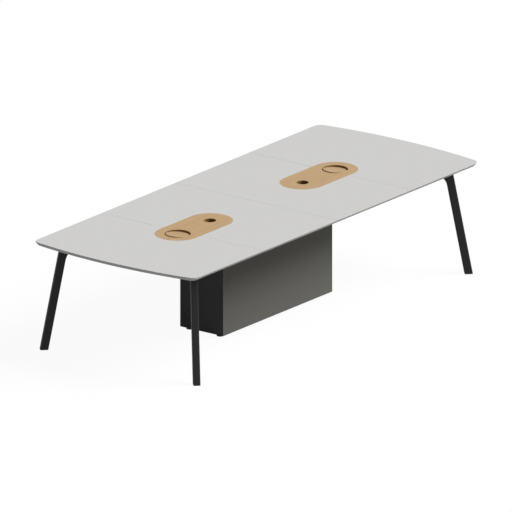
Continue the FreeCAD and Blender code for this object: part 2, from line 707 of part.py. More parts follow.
def make_castings():
    """Corner castings between the arms and the rails, with a spigot for each rail."""
    half = HALF_CASTING
    cut_back = half - CASTING_CHAMFER
    outline = [(-half, -half), (half, -half), (half, cut_back), (cut_back, half), (-half, half)]
    half_spigot = RAIL_WIDTH / 2 - RAIL_WALL - SPIGOT_FIT
    spigot_low = RAIL_BASE + RAIL_WALL + SPIGOT_FIT
    spigot_high = UNDERSIDE - RAIL_WALL - SPIGOT_FIT
    spigot_end = half + SPIGOT_LENGTH
    body = prism(outline, ARM_BOTTOM, UNDERSIDE)
    along = block(-spigot_end, -half, -half_spigot, half_spigot, spigot_low, spigot_high)
    across = block(-half_spigot, half_spigot, -spigot_end, -half, spigot_low, spigot_high)
    casting = body.fuse([along, across])
    castings = []
    for _, sx, sy in CORNERS:
        placed = casting.copy()
        if sx < 0:
            placed = placed.mirror(Vector(0, 0, 0), Vector(1, 0, 0))
        if sy < 0:
            placed = placed.mirror(Vector(0, 0, 0), Vector(0, 1, 0))
        placed.translate(Vector(sx * CASTING_X, sy * CASTING_Y, 0))
        castings.append(placed.cut(bolt_shanks()))
    export("corner_castings", *castings)


def make_rails():
    """Square-cut steel tubes: one along each side and one across each end."""
    half = RAIL_WIDTH / 2
    low, high = RAIL_BASE + RAIL_WALL, UNDERSIDE - RAIL_WALL
    holes = [screw_shanks(RAIL_SCREWS, RAIL_BASE)] + bolt_shanks()
    for side, sign in (("front", -1), ("rear", 1)):
        y = sign * CASTING_Y
        end = LONG_RAIL_END
        tube = block(-end, end, y - half, y + half, RAIL_BASE, UNDERSIDE)
        bore = block(-end, end, y - half + RAIL_WALL, y + half - RAIL_WALL, low, high)
        export(f"long_rail_{side}", tube.cut([bore] + holes))
    for side, sign in SIDES:
        x = sign * CASTING_X
        end = END_RAIL_END
        tube = block(x - half, x + half, -end, end, RAIL_BASE, UNDERSIDE)
        bore = block(x - half + RAIL_WALL, x + half - RAIL_WALL, -end, end, low, high)
        export(f"end_rail_{side}", tube.cut([bore] + holes))


# Cabinet


def make_cabinet_panels():
    """Mitred front and end panels, with a floor, a divider and two top rails."""
    outer_x, outer_y = CABINET_X, CABINET_Y
    inner_x, inner_y = CABINET_INNER_X, CABINET_INNER_Y
    mitre = [(outer_x - CABINET_ARRIS / 2, CABINET_ARRIS / 2 - outer_y), (inner_x, -inner_y)]
    right_half = [(outer_x - CABINET_ARRIS, -outer_y)] + mitre
    left_half = [(-x, y) for x, y in reversed(right_half)]
    export("cabinet_front", prism(right_half + left_half, CABINET_LIFT, UNDERSIDE))
    end = mitre + [(inner_x, outer_y), (outer_x, outer_y), (outer_x, CABINET_ARRIS - outer_y)]
    for side, sign in SIDES:
        export(f"cabinet_end_{side}", prism([(sign * x, y) for x, y in end], CABINET_LIFT, UNDERSIDE))

    floor = block(-inner_x, inner_x, -inner_y, outer_y, CABINET_LIFT, CABINET_FLOOR_TOP)
    holes = [
        upright(sign * GROMMET_X, 0, GROMMET_RADIUS + GROMMET_WALL, CABINET_LIFT, CABINET_FLOOR_TOP)
        for _, sign in SIDES
    ]
    insert_radius = STUD_RADIUS + STUD_CLEARANCE + INSERT_WALL
    holes += [upright(x, y, insert_radius, CABINET_LIFT, CABINET_FLOOR_TOP) for _, x, y in foot_places()]
    export("cabinet_floor", floor.cut(holes + door_pins("seat")))

    half_board = CABINET_BOARD / 2
    divider_back = inner_y - DOOR_STOP_ROOM
    divider = block(-half_board, half_board, -inner_y, divider_back, CABINET_FLOOR_TOP, CABINET_RAIL_BASE)
    export("cabinet_divider", divider)

    sinks = [
        upright(x, y, SCREW_HEAD_RADIUS + CABINET_SCREW_SINK_FIT, CABINET_RAIL_BASE, CABINET_SCREW_SEAT)
        for x, y in CABINET_SCREWS
    ]
    holes = sinks + [screw_shanks(CABINET_SCREWS, CABINET_SCREW_SEAT)] + door_pins("seat")
    front_rail = block(-inner_x, inner_x, -inner_y, CABINET_BOARD - inner_y, CABINET_RAIL_BASE, UNDERSIDE)
    rear_rail = block(-inner_x, inner_x, inner_y, outer_y, CABINET_RAIL_BASE, UNDERSIDE)
    export("cabinet_rail_front", front_rail.cut(holes))
    export("cabinet_rail_rear", rear_rail.cut(holes))


def make_grommets():
    """Flanged rings that line the cable holes in the cabinet floor."""
    rings = []
    for _, sign in SIDES:
        x = sign * GROMMET_X
        outer = GROMMET_RADIUS + GROMMET_WALL
        flange_top = CABINET_FLOOR_TOP + GROMMET_FLANGE_THICKNESS
        ring = upright(x, 0, outer, CABINET_LIFT, CABINET_FLOOR_TOP)
        ring = ring.fuse(upright(x, 0, outer + GROMMET_FLANGE, CABINET_FLOOR_TOP, flange_top))
        rings.append(ring.cut(upright(x, 0, GROMMET_RADIUS, CABINET_LIFT, flange_top)))
    export("floor_grommets", *rings)


def door_pins(stretch):
    """The doors' pivot pins, whole, or the stretch that their seats or their doors hold."""
    pins = []
    for _, sign in SIDES:
        x = sign * DOOR_PIVOT_X
        for face, way, grip_start in ((CABINET_FLOOR_TOP, -1, DOOR_BASE), (CABINET_RAIL_BASE, 1, DOOR_TOP)):
            seat_end = face + way * DOOR_PIN_SEAT
            grip_end = grip_start - way * DOOR_PIN_GRIP
            collar_end = grip_start + way * DOOR_COLLAR_GAP
            seat = upright(x, DOOR_PIVOT_Y, DOOR_PIN_RADIUS, min(face, seat_end), max(face, seat_end))
            grip = (min(face, grip_end), max(face, grip_end))
            collar = (min(face, collar_end), max(face, collar_end))
            if stretch == "seat":
                pins.append(seat)
            elif stretch == "grip":
                pins.append(upright(x, DOOR_PIVOT_Y, DOOR_PIN_RADIUS + PIN_CLEARANCE, *grip))
            else:
                pin = seat.fuse(upright(x, DOOR_PIVOT_Y, DOOR_PIN_RADIUS, *grip))
                pins.append(pin.fuse(upright(x, DOOR_PIVOT_Y, DOOR_COLLAR_RADIUS, *collar)).removeSplitter())
    return pins


def make_doors():
    """Two doors with a half-round hinge edge and a finger pull, their pins, magnets and strike plates."""
    strike_face = CABINET_INNER_Y - STRIKE_THICKNESS
    magnet_face = strike_face - STRIKE_GAP
    magnet_top = DOOR_TOP - MAGNET_DROP
    magnet_base = magnet_top - MAGNET_LENGTH
    magnets = []
    for side, sign in SIDES:
        inner_edge = sign * DOOR_GAP
        slab = block(inner_edge, sign * DOOR_PIVOT_X, CABINET_INNER_Y, CABINET_Y, DOOR_BASE, DOOR_TOP)
        round_edge = upright(sign * DOOR_PIVOT_X, DOOR_PIVOT_Y, CABINET_BOARD / 2, DOOR_BASE, DOOR_TOP)
        pull_start = sign * PULL_FROM_MIDDLE
        pull_end = sign * (PULL_FROM_MIDDLE + PULL_LENGTH)
        pull_top = DOOR_TOP + PULL_CORNER
        pull = block(pull_start, pull_end, CABINET_INNER_Y, CABINET_Y, DOOR_TOP - PULL_DEPTH, pull_top)
        pull = pull.makeFillet(PULL_CORNER, [e for e in pull.Edges if e.BoundBox.YLength > CABINET_BOARD / 2])
        export(f"door_{side}", slab.fuse(round_edge).removeSplitter().cut([pull] + door_pins("grip")))

        board_face = sign * CABINET_BOARD / 2
        strike_end = board_face + sign * STRIKE_WIDTH
        strike = block(board_face, strike_end, strike_face, CABINET_INNER_Y, magnet_base, magnet_top)
        export(f"door_strike_{side}", strike)
        magnet_end = board_face + sign * MAGNET_WIDTH
        magnet_back = magnet_face - MAGNET_DEPTH
        magnets.append(block(board_face, magnet_end, magnet_back, magnet_face, magnet_base, magnet_top))
    export("door_magnets", *magnets)
    export("door_pins", *door_pins("whole"))


def foot_places():
    """The middles of the levelling feet."""
    x = CABINET_X - FOOT_END_INSET
    y = CABINET_Y - FOOT_SIDE_INSET
    return [(name, sx * x, sy * y) for name, sx, sy in CORNERS]


def make_levelling_feet():
    """Round pads on threaded studs, in inserts set into the cabinet floor."""
    inserts = []
    stud_top = CABINET_FLOOR_TOP + STUD_RISE
    bore = STUD_RADIUS + STUD_CLEARANCE
    for name, x, y in foot_places():
        pad = upright(x, y, FOOT_RADIUS, 0, FOOT_PAD_HEIGHT)
        pad = pad.makeFillet(FOOT_ARRIS, edges_at_height(pad, FOOT_PAD_HEIGHT))
        collar = upright(x, y, FOOT_COLLAR_RADIUS, FOOT_PAD_HEIGHT, CABINET_LIFT - FOOT_COLLAR_GAP)
        stud = upright(x, y, STUD_RADIUS, FOOT_PAD_HEIGHT, stud_top)
        export(f"levelling_foot_{name}", pad.fuse([collar, stud]).removeSplitter())
        sleeve = upright(x, y, bore + INSERT_WALL, CABINET_LIFT, CABINET_FLOOR_TOP)
        inserts.append(sleeve.cut(upright(x, y, bore, CABINET_LIFT, CABINET_FLOOR_TOP)))
    export("foot_inserts", *inserts)


def make_fasteners():
    """Wood screws into the top, and the bolts of the frame."""
    screws = wood_screws(SEAM_PLATE_SCREWS, SEAM_PLATE_SEAT)
    screws += wood_screws(INLAY_PLATE_SCREWS, UNDERSIDE)
    screws += wood_screws(WELL_SCREWS, WELL_SEAT)
    screws += wood_screws(RAIL_SCREWS, RAIL_BASE)
    screws += wood_screws(CABINET_SCREWS, CABINET_SCREW_SEAT)
    screws += wood_screws(LEG_PLATE_SCREWS, ARM_TOP)
    export("wood_screws", *screws)
    bolts = [
        shank.fuse(upright(x, y, BOLT_HEAD_RADIUS, RAIL_BASE - BOLT_HEAD_HEIGHT, RAIL_BASE))
        for shank, (x, y) in zip(bolt_shanks(), frame_bolt_places())
    ]
    export("frame_bolts", *bolts)


def main():
    os.makedirs("parts", exist_ok=True)
    make_top_boards()
    make_seam_joints()
    bushes = []
    bumpers = []
    for side, sign in SIDES:
        inlay_bushes, bumper = make_inlay(side, sign)
        bushes += inlay_bushes
        bumpers.append(bumper)
        make_lid(side, sign)
        make_power_unit(side, sign)
    export("lid_bushes", *bushes)
    export("lid_bumpers", *bumpers)
    make_legs()
    make_leg_plates()
    make_castings()
    make_rails()
    make_cabinet_panels()
    make_grommets()
    make_doors()
    make_levelling_feet()
    make_fasteners()


main()
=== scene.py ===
"""Looks of the conference table: materials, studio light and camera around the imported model.

Metres, +Z up.
"""

import json
import math

import bmesh
import bpy
from mathutils import Matrix, Vector

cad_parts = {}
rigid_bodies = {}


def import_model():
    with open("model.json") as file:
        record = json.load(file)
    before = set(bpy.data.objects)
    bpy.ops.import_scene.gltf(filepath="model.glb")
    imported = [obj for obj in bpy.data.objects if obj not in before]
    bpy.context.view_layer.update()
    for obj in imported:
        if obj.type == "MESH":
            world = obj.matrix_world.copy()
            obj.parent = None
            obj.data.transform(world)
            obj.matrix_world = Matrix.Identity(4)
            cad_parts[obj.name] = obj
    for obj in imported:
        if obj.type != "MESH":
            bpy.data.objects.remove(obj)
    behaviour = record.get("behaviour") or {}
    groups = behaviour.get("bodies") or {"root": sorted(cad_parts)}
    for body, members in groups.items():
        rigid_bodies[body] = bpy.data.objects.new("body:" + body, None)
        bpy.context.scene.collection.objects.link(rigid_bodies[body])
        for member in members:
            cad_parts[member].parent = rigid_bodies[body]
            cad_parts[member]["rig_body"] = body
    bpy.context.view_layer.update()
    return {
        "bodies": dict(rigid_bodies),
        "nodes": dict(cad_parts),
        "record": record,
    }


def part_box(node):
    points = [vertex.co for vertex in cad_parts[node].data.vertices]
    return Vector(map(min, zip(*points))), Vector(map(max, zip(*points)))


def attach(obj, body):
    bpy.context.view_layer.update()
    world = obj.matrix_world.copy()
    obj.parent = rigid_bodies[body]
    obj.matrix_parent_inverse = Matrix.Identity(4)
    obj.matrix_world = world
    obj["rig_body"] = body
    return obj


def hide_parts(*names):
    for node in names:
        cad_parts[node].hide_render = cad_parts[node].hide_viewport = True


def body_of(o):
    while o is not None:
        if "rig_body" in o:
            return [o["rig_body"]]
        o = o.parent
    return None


# Camera, as seen in the photograph
AZIMUTH = -53.0
ELEVATION = 18.0
VIEW_WIDTH = 3.327
AIM = Vector((-0.001, 0.0013, 0.3765))
CAMERA_DISTANCE = 9.0

# Light
SKY_STRENGTH = 0.18
KEY_STRENGTH = 3.5
KEY_DIRECTION = Vector((0.42, -0.56, 0.72))
KEY_SPREAD = math.radians(34.0)
FLOOR_SIZE = 80.0
FLOOR_DROP = 0.0005  # below the feet
FLOOR_COLOUR = (0.30, 0.30, 0.30)
FLOOR_SHADOW = 0.06  # share of the seen floor's white that a shadow can take away

# Middle of a noise field, which a finish spreads over its own range
NOISE_LOW = 0.3
NOISE_HIGH = 0.7

# Relief of mottled and wooden finishes, and of brushed lines
RELIEF_DEPTH = 0.0002
LINE_DEPTH = 0.0001

# Screws and bolts, with their heads down
TURN_STEPS = 24
SCREW_HEAD_HEIGHT = 0.0026
SCREW_SHANK_RADIUS = 0.0025
SCREW_POINT = 0.004
BOLT_HEAD_HEIGHT = 0.004
BOLT_SHANK_RADIUS = 0.003
HEAD_TURN = math.radians(137.5)  # from one head to the next, so that no two line up

# Levelling feet
FOOT_STEPS = 48
FOOT_PAD_HEIGHT = 0.009
FOOT_NUT_RADIUS = 0.009
FOOT_NUT_TOP = 0.0147
FOOT_FLUTES = 12
FOOT_FLUTE_DEPTH = 0.05  # share of the pad's radius
STUD_RADIUS = 0.005
STUD_KEY_DEPTH = 0.005
THREAD_PITCH = 0.0015
THREAD_DEPTH = 0.16  # share of the stud's radius
THREAD_LEVELS = 4  # rings in one turn of thread

# Softened edges of flat-sided pieces
WELD = 1e-6
FLAT_ANGLE = math.radians(1.0)
LEVEL = 0.9999  # upward share of a level face's normal
EDGE_ANGLE = math.radians(40.0)
SHARP_ANGLE = math.radians(35.0)
EASED_SHARP_ANGLE = math.radians(12.0)
EASE_SEGMENTS = 3
BOARD_EASE = 0.0006
BOARD_EDGE_LENGTH = 0.01
TUBE_EASE = 0.002
TUBE_EDGE_LENGTH = 0.1
BOARDS = [
    "cabinet_front",
    "cabinet_end_left",
    "cabinet_end_right",
    "cabinet_floor",
    "cabinet_divider",
    "cabinet_rail_front",
    "cabinet_rail_rear",
    "door_left",
    "door_right",
]
TUBES = ["long_rail_front", "long_rail_rear", "end_rail_left", "end_rail_right"]

# Painted shade in the inlay boards' round openings: their walls are dark brown, standing for the deep
# shade inside them
INLAY_BOARDS = ["inlay_board_left", "inlay_board_right"]
OPENING_INSET = 0.06  # least distance of an opening from the board's sides and ends
WALL_TILT = 0.1  # highest upward share of a wall's normal


def new_material(name):
    """An empty material with its principled shader, node tree and output."""
    material = bpy.data.materials.new(name)
    material.use_nodes = True
    tree = material.node_tree
    return material, tree, tree.nodes["Principled BSDF"]


def object_coordinates(tree, scale, offset=(0.0, 0.0, 0.0)):
    """Object coordinates stretched by a scale along each axis and moved by an offset."""
    coordinates = tree.nodes.new("ShaderNodeTexCoord")
    mapping = tree.nodes.new("ShaderNodeMapping")
    mapping.inputs["Location"].default_value = offset
    mapping.inputs["Scale"].default_value = scale
    tree.links.new(coordinates.outputs["Object"], mapping.inputs["Vector"])
    return mapping.outputs["Vector"]


def noise(tree, vector, scale, detail=4.0, roughness=0.55, distortion=0.0):
    """A noise field over a vector."""
    node = tree.nodes.new("ShaderNodeTexNoise")
    node.inputs["Scale"].default_value = scale
    node.inputs["Detail"].default_value = detail
    node.inputs["Roughness"].default_value = roughness
    node.inputs["Distortion"].default_value = distortion
    tree.links.new(vector, node.inputs["Vector"])
    return node.outputs["Fac"]


def ramp(tree, factor, stops):
    """A colour ramp with (position, colour) stops."""
    node = tree.nodes.new("ShaderNodeValToRGB")
    elements = node.color_ramp.elements
    while len(elements) < len(stops):
        elements.new(0.5)
    for element, (position, colour) in zip(elements, stops):
        element.position = position
        element.color = (*colour, 1.0)
    tree.links.new(factor, node.inputs["Fac"])
    return node.outputs["Color"]


def spread(tree, factor, low, high):
    """Maps the middle of a noise field to a range of plain numbers."""
    node = tree.nodes.new("ShaderNodeMapRange")
    node.inputs["From Min"].default_value = NOISE_LOW
    node.inputs["From Max"].default_value = NOISE_HIGH
    node.inputs["To Min"].default_value = low
    node.inputs["To Max"].default_value = high
    tree.links.new(factor, node.inputs["Value"])
    return node.outputs["Result"]


def bump(tree, shader, height, strength, distance):
    """A small surface relief."""
    node = tree.nodes.new("ShaderNodeBump")
    node.inputs["Strength"].default_value = strength
    node.inputs["Distance"].default_value = distance
    tree.links.new(height, node.inputs["Height"])
    tree.links.new(node.outputs["Normal"], shader.inputs["Normal"])


def tinted(colour, factor):
    """A colour made darker or lighter by a factor."""
    return tuple(channel * factor for channel in colour)


def speckled(name, colour, contrast, grain, rough, shine=0.25, relief=0.1):
    """A fine mottled finish: laminate, powder coat, plastic, rubber or board."""
    material, tree, shader = new_material(name)
    vector = object_coordinates(tree, (1.0, 1.0, 1.0))
    field = noise(tree, vector, grain)
    stops = [(0.35, tinted(colour, 1.0 - contrast)), (0.65, tinted(colour, 1.0 + contrast))]
    tree.links.new(ramp(tree, field, stops), shader.inputs["Base Color"])
    tree.links.new(spread(tree, field, rough - 0.04, rough + 0.04), shader.inputs["Roughness"])
    shader.inputs["Specular IOR Level"].default_value = shine
    bump(tree, shader, field, relief, RELIEF_DEPTH)
    return material


def brushed(name, colour, rough, stretch):
    """Metal with fine lines along one axis."""
    material, tree, shader = new_material(name)
    field = noise(tree, object_coordinates(tree, stretch), 12.0, detail=6.0)
    stops = [(0.3, tinted(colour, 0.86)), (0.7, tinted(colour, 1.1))]
    tree.links.new(ramp(tree, field, stops), shader.inputs["Base Color"])
    tree.links.new(spread(tree, field, rough - 0.08, rough + 0.08), shader.inputs["Roughness"])
    shader.inputs["Metallic"].default_value = 1.0
    bump(tree, shader, field, 0.15, LINE_DEPTH)
    return material


def wood(name, colour, rough, offset, stretch=(1.2, 26.0, 26.0)):
    """Light veneer with long grain along X."""
    material, tree, shader = new_material(name)
    vector = object_coordinates(tree, stretch, offset)
    figure = noise(tree, vector, 2.2, detail=5.0, distortion=0.6)
    pores = noise(tree, vector, 14.0, detail=3.0, roughness=0.7)
    figure_stops = [(0.28, tinted(colour, 0.88)), (0.5, colour), (0.72, tinted(colour, 1.09))]
    figure_colour = ramp(tree, figure, figure_stops)
    pore_colour = ramp(tree, pores, [(0.3, (0.9, 0.88, 0.85)), (0.5, (1.0, 1.0, 1.0))])
    mix = tree.nodes.new("ShaderNodeMix")
    mix.data_type = "RGBA"
    mix.blend_type = "MULTIPLY"
    mix.inputs["Factor"].default_value = 1.0
    tree.links.new(figure_colour, mix.inputs["A"])
    tree.links.new(pore_colour, mix.inputs["B"])
    tree.links.new(mix.outputs["Result"], shader.inputs["Base Color"])
    tree.links.new(spread(tree, pores, rough + 0.06, rough - 0.04), shader.inputs["Roughness"])
    shader.inputs["Specular IOR Level"].default_value = 0.2
    bump(tree, shader, pores, 0.12, RELIEF_DEPTH)
    return material


def make_materials():
    """One material for each of the record's slots, lighter and shinier ones that paint a highlight on
    rounded edges, and a dark brown one that paints shade in the round openings.
    """
    finishes = [
        speckled("top_laminate", (0.60, 0.595, 0.58), 0.012, 260.0, 0.55, relief=0.04),
        wood("inlay_wood", (0.495, 0.325, 0.162), 0.5, (0.0, 0.0, 0.0)),
        # Painted shade: the lid's wood is darker than the inlay's to offset the extra key light on the
        # tilted lid
        wood("lid_wood", (0.465, 0.305, 0.15), 0.5, (0.3, 1.7, 0.4)),
        wood("dowel_wood", (0.62, 0.47, 0.30), 0.6, (0.1, 0.4, 0.2)),
        brushed("plain_steel", (0.56, 0.57, 0.58), 0.38, (4.0, 140.0, 140.0)),
        brushed("brass_insert", (0.62, 0.48, 0.22), 0.35, (30.0, 30.0, 1.0)),
        speckled("pale_nylon", (0.75, 0.74, 0.70), 0.02, 300.0, 0.45),
        speckled("soft_rubber", (0.03, 0.03, 0.03), 0.1, 400.0, 0.8),
        speckled("black_steel", (0.019, 0.0192, 0.0187), 0.1, 700.0, 0.62, relief=0.15),
        speckled("black_casting", (0.02, 0.02, 0.021), 0.12, 420.0, 0.5, shine=0.22, relief=0.3),
        speckled("glide_plastic", (0.02, 0.02, 0.02), 0.08, 500.0, 0.5),
        speckled("foot_plastic", (0.03, 0.03, 0.03), 0.08, 500.0, 0.45),
        speckled("black_plastic", (0.025, 0.025, 0.026), 0.1, 800.0, 0.5, relief=0.25),
        speckled("grey_plastic", (0.28, 0.28, 0.285), 0.03, 800.0, 0.45, relief=0.15),
        speckled("black_board", (0.086, 0.086, 0.087), 0.06, 500.0, 0.6, shine=0.04, relief=0.08),
        speckled("grey_board", (0.185, 0.181, 0.1645), 0.03, 500.0, 0.6, shine=0.03, relief=0.08),
        # Painted shade: dark brown for the walls inside the round openings
        speckled("painted_opening_shade", (0.28, 0.16, 0.055), 0.18, 900.0, 0.8, shine=0.08, relief=0.3),
        # The _edge finishes are lighter, shinier copies of their boards: a painted highlight along rounded
        # edges
        speckled("black_steel_edge", (0.02, 0.02, 0.021), 0.3, 90.0, 0.3),
        speckled("black_board_edge", (0.105, 0.105, 0.106), 0.12, 90.0, 0.5, shine=0.08),
        speckled("grey_board_edge", (0.214, 0.21, 0.191), 0.1, 90.0, 0.5, shine=0.08),
    ]
    return {finish.name: finish for finish in finishes}


def ring(height, radius, outline=None, steps=TURN_STEPS):
    """One closed turn of points. An outline gives the share of the radius at each angle."""
    points = []
    for step in range(steps):
        angle = math.tau * step / steps
        reach = radius * (outline(angle) if outline else 1.0)
        points.append(Vector((reach * math.cos(angle), reach * math.sin(angle), height)))
    return points


def hexagon(angle):
    """A hexagon with corners at 1."""
    return math.cos(math.pi / 6) / math.cos(angle % (math.pi / 3) - math.pi / 6)


def cross(angle):
    """A cross with arms that end at 1 and are about half as wide as they are long."""
    off_arm = abs((angle + math.pi / 4) % (math.pi / 2) - math.pi / 4)
    half_width = math.tan(math.pi / 12)
    if off_arm <= math.pi / 12 + FLAT_ANGLE:
        return 1.0 / math.cos(off_arm)
    return half_width / math.sin(off_arm)


def fluted(angle):
    """A round with shallow grips in its rim."""
    return 1.0 - FOOT_FLUTE_DEPTH * (0.5 - 0.5 * math.cos(FOOT_FLUTES * angle))


def thread(height):
    """The outline of a screw thread where it is cut at a height."""

    def outline(angle):
        phase = (height / THREAD_PITCH - angle / math.tau) % 1.0
        return 1.0 - THREAD_DEPTH * abs(2.0 * phase - 1.0)

    return outline


def skin(shape, rings, place):
    """Joins rings of points into one closed surface with flat ends."""
    rows = [[shape.verts.new(place @ point) for point in points] for points in rings]
    for low, high in zip(rows, rows[1:]):
        for step in range(len(low)):
            after = (step + 1) % len(low)
            shape.faces.new((low[step], low[after], high[after], high[step]))
    shape.faces.new(rows[0])
    shape.faces.new(rows[-1])


def add_piece(shape, name, body, finishes, nodes=(), sharp=SHARP_ANGLE):
    """Makes a finished shape a piece of the table, in place of CAD nodes.

    Level faces are kept flat up to their edges.
    """
    bmesh.ops.recalc_face_normals(shape, faces=shape.faces)
    for face in shape.faces:
        face.smooth = True
    for edge in shape.edges:
        is_level = any(abs(face.normal.z) > LEVEL for face in edge.link_faces)
        edge.smooth = edge.calc_face_angle(math.pi) < (FLAT_ANGLE if is_level else sharp)
    mesh = bpy.data.meshes.new(name)
    shape.to_mesh(mesh)
    shape.free()
    for finish in finishes:
        mesh.materials.append(finish)
    piece = bpy.data.objects.new(name, mesh)
    bpy.context.scene.collection.objects.link(piece)
    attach(piece, body)
    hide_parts(*nodes)


def welded(node):
    """A CAD node's shape with its faces joined along their edges."""
    shape = bmesh.new()
    shape.from_mesh(node.data)
    bmesh.ops.remove_doubles(shape, verts=shape.verts, dist=WELD)
    return shape


def solid_boxes(node):
    """Lowest and highest corner of each separate solid in a CAD node."""
    shape = welded(node)
    seen = set()
    boxes = []
    for start in shape.verts:
        if start in seen:
            continue
        seen.add(start)
        group = [start]
        for vertex in group:
            for edge in vertex.link_edges:
                other = edge.other_vert(vertex)
                if other not in seen:
                    seen.add(other)
                    group.append(other)
        low = Vector([min(vertex.co[axis] for vertex in group) for axis in range(3)])
        high = Vector([max(vertex.co[axis] for vertex in group) for axis in range(3)])
        boxes.append((low, high))
    shape.free()
    return boxes


def screw_rings(length, head):
    """A pointed wood screw under a domed head with a cross recess, from its point down."""
    tall = SCREW_HEAD_HEIGHT
    return [
        ring(length, 0.05 * head),
        ring(length - SCREW_POINT, SCREW_SHANK_RADIUS),
        ring(0.0, SCREW_SHANK_RADIUS),
        ring(0.0, head),
        ring(-0.2 * tall, head),
        ring(-0.55 * tall, 0.93 * head),
        ring(-0.82 * tall, 0.78 * head),
        ring(-0.96 * tall, 0.6 * head),
        ring(-tall, 0.54 * head, cross),
        ring(-0.4 * tall, 0.3 * head, cross),
    ]


def bolt_rings(length, head):
    """A round-headed bolt with a hexagon socket, from its tip down."""
    tall = BOLT_HEAD_HEIGHT
    return [
        ring(length, 0.8 * BOLT_SHANK_RADIUS),
        ring(length - 0.2 * BOLT_SHANK_RADIUS, BOLT_SHANK_RADIUS),
        ring(0.0, BOLT_SHANK_RADIUS),
        ring(0.0, head),
        ring(-0.45 * tall, head),
        ring(-0.8 * tall, 0.88 * head),
        ring(-tall, 0.66 * head),
        ring(-tall, 0.5 * head, hexagon),
        ring(-0.4 * tall, 0.5 * head, hexagon),
    ]


def make_fasteners(frame, materials):
    """Screws and bolts with driven heads, one for each that the frame holds."""
    kinds = [
        ("wood_screws", SCREW_HEAD_HEIGHT, screw_rings),
        ("frame_bolts", BOLT_HEAD_HEIGHT, bolt_rings),
    ]
    for name, head_height, make_rings in kinds:
        shape = bmesh.new()
        for count, (low, high) in enumerate(solid_boxes(frame["nodes"][name])):
            centre = (low + high) / 2
            seat = low.z + head_height
            turn = Matrix.Rotation(count * HEAD_TURN, 4, "Z")
            place = Matrix.Translation((centre.x, centre.y, seat)) @ turn
            skin(shape, make_rings(high.z - seat, (high.x - low.x) / 2), place)
        add_piece(shape, f"{name}_driven", "table", [materials["plain_steel"]], [name])


def make_feet(frame, materials):
    """Levelling feet: a fluted pad under a hexagon, and a threaded stud with a key socket on top."""
    for body in frame["bodies"]:
        if not body.startswith("foot_"):
            continue
        node = f"levelling_{body}"
        low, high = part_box(node)
        place = Matrix.Translation(((low.x + high.x) / 2, (low.y + high.y) / 2, low.z))
        radius = (high.x - low.x) / 2
        tall = FOOT_PAD_HEIGHT
        pad = [
            ring(0.0, 0.95 * radius, steps=FOOT_STEPS),
            ring(0.08 * tall, 0.98 * radius, steps=FOOT_STEPS),
            ring(0.25 * tall, radius, fluted, FOOT_STEPS),
            ring(0.6 * tall, radius, fluted, FOOT_STEPS),
            ring(0.8 * tall, 0.94 * radius, steps=FOOT_STEPS),
            ring(0.95 * tall, 0.78 * radius, steps=FOOT_STEPS),
            ring(tall, 0.5 * radius, steps=FOOT_STEPS),
            ring(1.05 * tall, FOOT_NUT_RADIUS, hexagon, FOOT_STEPS),
            ring(FOOT_NUT_TOP - 0.05 * tall, FOOT_NUT_RADIUS, hexagon, FOOT_STEPS),
            ring(FOOT_NUT_TOP, 0.8 * FOOT_NUT_RADIUS, steps=FOOT_STEPS),
        ]
        shape = bmesh.new()
        skin(shape, pad, place)
        add_piece(shape, f"{node}_pad", body, [materials["foot_plastic"]], [node])

        top = high.z - low.z
        level = THREAD_PITCH / THREAD_LEVELS
        levels = int((top - STUD_RADIUS / 5 - FOOT_NUT_TOP) / level)
        heights = [FOOT_NUT_TOP + level * count for count in range(levels)]
        stud = [ring(height, STUD_RADIUS, thread(height)) for height in heights]
        stud += [
            ring(top, 0.8 * STUD_RADIUS),
            ring(top, 0.55 * STUD_RADIUS, hexagon),
            ring(top - STUD_KEY_DEPTH, 0.55 * STUD_RADIUS, hexagon),
        ]
        shape = bmesh.new()
        skin(shape, stud, place)
        add_piece(shape, f"{node}_stud", body, [materials["plain_steel"]])


def ease_edges(frame, materials):
    """Boards and square tubes again, with their long edges slightly rounded and given a painted highlight:
    a lighter, shinier finish.
    """
    slots = {part["node"]: part["material_slot"] for part in frame["record"]["subparts"]}
    kinds = [(BOARDS, BOARD_EASE, BOARD_EDGE_LENGTH), (TUBES, TUBE_EASE, TUBE_EDGE_LENGTH)]
    for names, ease, shortest in kinds:
        for name in names:
            node = frame["nodes"][name]
            shape = welded(node)
            bmesh.ops.dissolve_limit(shape, angle_limit=FLAT_ANGLE, verts=shape.verts, edges=shape.edges)
            edges = [
                edge
                for edge in shape.edges
                if edge.is_convex and edge.calc_length() > shortest and edge.calc_face_angle() > EDGE_ANGLE
            ]
            bmesh.ops.bevel(
                shape,
                geom=edges,
                offset=ease,
                segments=EASE_SEGMENTS,
                profile=0.5,
                affect="EDGES",
                material=1,
            )
            # The rounded edges take the _edge finish, a painted highlight
            finishes = [materials[slots[name]], materials[f"{slots[name]}_edge"]]
            add_piece(shape, f"{name}_eased", body_of(node)[0], finishes, [name], EASED_SHARP_ANGLE)


def paint_opening_shade(frame, materials):
    """Inlay boards again, with dark brown painted shade on the walls of their round openings."""
    for name in INLAY_BOARDS:
        low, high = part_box(name)
        shape = welded(frame["nodes"][name])
        for face in shape.faces:
            middle = face.calc_center_median()
            inset = min(min(middle[axis] - low[axis], high[axis] - middle[axis]) for axis in range(2))
            # Walls inside the openings take the dark brown painted shade
            if abs(face.normal.z) < WALL_TILT and inset > OPENING_INSET:
                face.material_index = 1
        finishes = [materials["inlay_wood"], materials["painted_opening_shade"]]
        add_piece(shape, f"{name}_shaded_walls", "table", finishes, [name])


